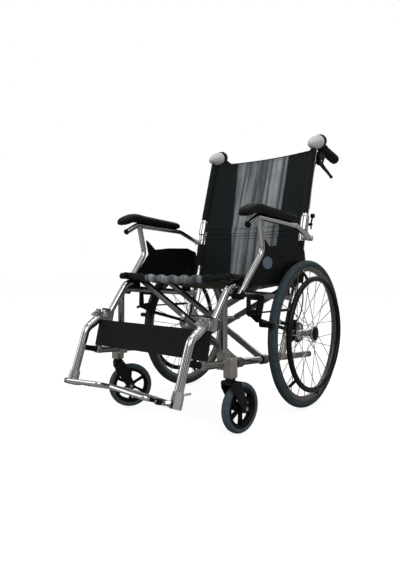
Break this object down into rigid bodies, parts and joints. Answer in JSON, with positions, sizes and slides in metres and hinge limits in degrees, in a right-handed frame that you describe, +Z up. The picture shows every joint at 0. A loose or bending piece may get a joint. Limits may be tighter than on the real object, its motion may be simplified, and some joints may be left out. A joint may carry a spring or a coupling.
{
  "type": "folding wheelchair",
  "caption": "Folding wheelchair with laced rear wheels and handrims, swivelling casters, flip-up armrests, cross-brace fold, hung cloth seat, folding back and swing-away footrests",
  "frame": {"origin": "middle of the footprint, on the ground", "axes": "X across the chair, with the user's left at +X; the front faces -Y; Z up"},
  "size_m": [0.6196, 1.0224, 0.9804],
  "materials": {
    "polished_aluminium": "polished",
    "cast_aluminium": "satin",
    "chromed_steel": "polished",
    "slate_rubber": "matte",
    "black_plastic": "matte",
    "black_painted_steel": "satin",
    "pale_plastic": "satin",
    "black_cloth": "woven",
    "grey_cloth": "woven",
    "pad_vinyl": "satin"
  },
  "bodies": {
    "left_frame": {"side_frame_left": "polished_aluminium", "caster_housing_left": "cast_aluminium", "axle_and_drum_left": "black_painted_steel", "seat_cradle_left": "black_plastic", "armrest_saddle_left": "black_plastic", "wheel_lock_plate_left": "black_painted_steel", "brake_cable_left": "black_plastic", "back_sling_lower": "black_cloth", "calf_strap": "black_cloth"},
    "brace_a": {"brace_a": "polished_aluminium"},
    "brace_b": {"brace_b": "polished_aluminium", "seat_sling": "grey_cloth"},
    "right_frame": {"side_frame_right": "polished_aluminium", "caster_housing_right": "cast_aluminium", "axle_and_drum_right": "black_painted_steel", "seat_cradle_right": "black_plastic", "armrest_saddle_right": "black_plastic", "wheel_lock_plate_right": "black_painted_steel", "brake_cable_right": "black_plastic"},
    "left_wheel": {"rear_tyre_left": "slate_rubber", "rear_wheel_left": "cast_aluminium", "handrim_left": "black_painted_steel"},
    "left_caster_fork": {"caster_fork_left": "black_painted_steel"},
    "left_caster_wheel": {"caster_wheel_left": "black_plastic", "caster_tyre_left": "slate_rubber"},
    "left_back": {"upper_cane_left": "polished_aluminium", "hinge_sleeve_left": "polished_aluminium", "grip_cap_left": "pale_plastic", "push_grip_left": "black_plastic", "back_sling_upper": "black_cloth"},
    "left_release": {"hinge_release_left": "black_plastic"},
    "left_brake_lever": {"brake_lever_left": "black_painted_steel"},
    "left_armrest": {"armrest_frame_left": "polished_aluminium", "armrest_pad_left": "pad_vinyl", "skirt_guard_left": "black_plastic"},
    "left_lock_lever": {"wheel_lock_lever_left": "black_plastic"},
    "left_hanger": {"hanger_left": "polished_aluminium", "foot_bracket_left": "cast_aluminium"},
    "left_latch": {"hanger_latch_left": "chromed_steel"},
    "left_footplate": {"footplate_left": "polished_aluminium"},
    "right_wheel": {"rear_tyre_right": "slate_rubber", "rear_wheel_right": "cast_aluminium", "handrim_right": "black_painted_steel"},
    "right_caster_fork": {"caster_fork_right": "black_painted_steel"},
    "right_caster_wheel": {"caster_wheel_right": "black_plastic", "caster_tyre_right": "slate_rubber"},
    "right_back": {"upper_cane_right": "polished_aluminium", "hinge_sleeve_right": "polished_aluminium", "grip_cap_right": "pale_plastic", "push_grip_right": "black_plastic"},
    "right_release": {"hinge_release_right": "black_plastic"},
    "right_brake_lever": {"brake_lever_right": "black_painted_steel"},
    "right_armrest": {"armrest_frame_right": "polished_aluminium", "armrest_pad_right": "pad_vinyl", "skirt_guard_right": "black_plastic"},
    "right_lock_lever": {"wheel_lock_lever_right": "black_plastic"},
    "right_hanger": {"hanger_right": "polished_aluminium", "foot_bracket_right": "cast_aluminium"},
    "right_latch": {"hanger_latch_right": "chromed_steel"},
    "right_footplate": {"footplate_right": "polished_aluminium"}
  },
  "joints": [
    {"name": "brace_fold", "type": "hinge", "parent": "left_frame", "child": "brace_a", "pos_m": [0.2185, 0.18695, 0.171], "axis": [0, 0.9966, -0.0826], "range_deg": [0, 38.5], "deforming": ["seat_sling", "back_sling_lower", "back_sling_upper", "calf_strap"]},
    {"name": "brace_cross", "type": "hinge", "parent": "brace_a", "child": "brace_b", "pos_m": [0, 0.19715, 0.29394], "axis": [0, 0.9966, -0.0826], "range_deg": [-77, 0]},
    {"name": "right_side", "type": "hinge", "parent": "brace_b", "child": "right_frame", "pos_m": [-0.2185, 0.18695, 0.171], "axis": [0, 0.9966, -0.0826], "range_deg": [0, 38.5]},
    {"name": "left_wheel_spin", "type": "hinge", "parent": "left_frame", "child": "left_wheel", "pos_m": [0.271, 0.18695, 0.255], "axis": [1, 0, 0], "continuous": true},
    {"name": "left_caster_swivel", "type": "hinge", "parent": "left_frame", "child": "left_caster_fork", "pos_m": [0.2392, -0.23505, 0], "axis": [0, 0, 1], "continuous": true},
    {"name": "left_caster_spin", "type": "hinge", "parent": "left_caster_fork", "child": "left_caster_wheel", "pos_m": [0.24347, -0.19196, 0.0745], "axis": [0.9951, -0.0986, 0], "continuous": true},
    {"name": "left_back_fold", "type": "hinge", "parent": "left_frame", "child": "left_back", "pos_m": [0.233, 0.25095, 0.61], "axis": [-1, 0, 0], "range_deg": [0, 105], "deforming": ["brake_cable_left", "back_sling_upper"]},
    {"name": "left_back_release", "type": "hinge", "parent": "left_back", "child": "left_release", "pos_m": [0.249, 0.25843, 0.64185], "axis": [-1, 0, 0], "range_deg": [0, 12], "stiffness_Nm_per_rad": 0.05, "springref_deg": -11.46},
    {"name": "left_brake_squeeze", "type": "hinge", "parent": "left_back", "child": "left_brake_lever", "pos_m": [0.233, 0.36598, 0.89011], "axis": [1, 0, 0], "range_deg": [0, 20], "stiffness_Nm_per_rad": 0.3, "springref_deg": -5.73},
    {"name": "left_armrest_flip", "type": "hinge", "parent": "left_frame", "child": "left_armrest", "pos_m": [0.2592, 0.22895, 0.59], "axis": [-0.9962, 0, 0.0872], "range_deg": [0, 86]},
    {"name": "left_wheel_lock", "type": "hinge", "parent": "left_frame", "child": "left_lock_lever", "pos_m": [0.2318, -0.08105, 0.33], "axis": [1, 0, 0], "range_deg": [-35, 0]},
    {"name": "left_hanger_swing", "type": "hinge", "parent": "left_frame", "child": "left_hanger", "pos_m": [0.2185, -0.31275, 0.327], "axis": [0, 0.2354, 0.9719], "range_deg": [0, 90]},
    {"name": "left_hanger_latch", "type": "hinge", "parent": "left_hanger", "child": "left_latch", "pos_m": [0.2185, -0.33908, 0.34573], "axis": [-1, 0, 0], "range_deg": [0, 25], "stiffness_Nm_per_rad": 0.03, "springref_deg": -11.46},
    {"name": "left_footplate_fold", "type": "hinge", "parent": "left_hanger", "child": "left_footplate", "pos_m": [0.1895, -0.46105, 0.1365], "axis": [0, 0.9444, -0.3289], "range_deg": [0, 86.5]},
    {"name": "right_wheel_spin", "type": "hinge", "parent": "right_frame", "child": "right_wheel", "pos_m": [-0.271, 0.18695, 0.255], "axis": [1, 0, 0], "continuous": true},
    {"name": "right_caster_swivel", "type": "hinge", "parent": "right_frame", "child": "right_caster_fork", "pos_m": [-0.2392, -0.23505, 0], "axis": [0, 0, 1], "continuous": true},
    {"name": "right_caster_spin", "type": "hinge", "parent": "right_caster_fork", "child": "right_caster_wheel", "pos_m": [-0.21468, -0.19936, 0.0745], "axis": [0.8241, -0.5664, 0], "continuous": true},
    {"name": "right_back_fold", "type": "hinge", "parent": "right_frame", "child": "right_back", "pos_m": [-0.233, 0.25095, 0.61], "axis": [-1, 0, 0], "range_deg": [0, 105], "deforming": ["brake_cable_right"]},
    {"name": "right_back_release", "type": "hinge", "parent": "right_back", "child": "right_release", "pos_m": [-0.249, 0.25843, 0.64185], "axis": [-1, 0, 0], "range_deg": [0, 12], "stiffness_Nm_per_rad": 0.05, "springref_deg": -11.46},
    {"name": "right_brake_squeeze", "type": "hinge", "parent": "right_back", "child": "right_brake_lever", "pos_m": [-0.233, 0.36598, 0.89011], "axis": [1, 0, 0], "range_deg": [0, 20], "stiffness_Nm_per_rad": 0.3, "springref_deg": -5.73},
    {"name": "right_armrest_flip", "type": "hinge", "parent": "right_frame", "child": "right_armrest", "pos_m": [-0.2592, 0.22895, 0.59], "axis": [-0.9962, 0, -0.0872], "range_deg": [0, 86]},
    {"name": "right_wheel_lock", "type": "hinge", "parent": "right_frame", "child": "right_lock_lever", "pos_m": [-0.2318, -0.08105, 0.33], "axis": [1, 0, 0], "range_deg": [-35, 0]},
    {"name": "right_hanger_swing", "type": "hinge", "parent": "right_frame", "child": "right_hanger", "pos_m": [-0.2185, -0.31275, 0.327], "axis": [0, -0.2354, -0.9719], "range_deg": [0, 90]},
    {"name": "right_hanger_latch", "type": "hinge", "parent": "right_hanger", "child": "right_latch", "pos_m": [-0.2185, -0.33908, 0.34573], "axis": [-1, 0, 0], "range_deg": [0, 25], "stiffness_Nm_per_rad": 0.03, "springref_deg": -11.46},
    {"name": "right_footplate_fold", "type": "hinge", "parent": "right_hanger", "child": "right_footplate", "pos_m": [-0.1895, -0.46105, 0.1365], "axis": [0, -0.9444, 0.3289], "range_deg": [0, 86.5]}
  ],
  "couplings": [
    {"joint": "brace_cross", "follows": "brace_fold", "ratio": -2},
    {"joint": "right_side", "follows": "brace_fold", "ratio": 1},
    {"joint": "right_back_fold", "follows": "left_back_fold", "ratio": 1},
    {"joint": "left_footplate_fold", "follows": "brace_fold", "ratio": 2.2467},
    {"joint": "right_footplate_fold", "follows": "brace_fold", "ratio": 2.2467}
  ]
}
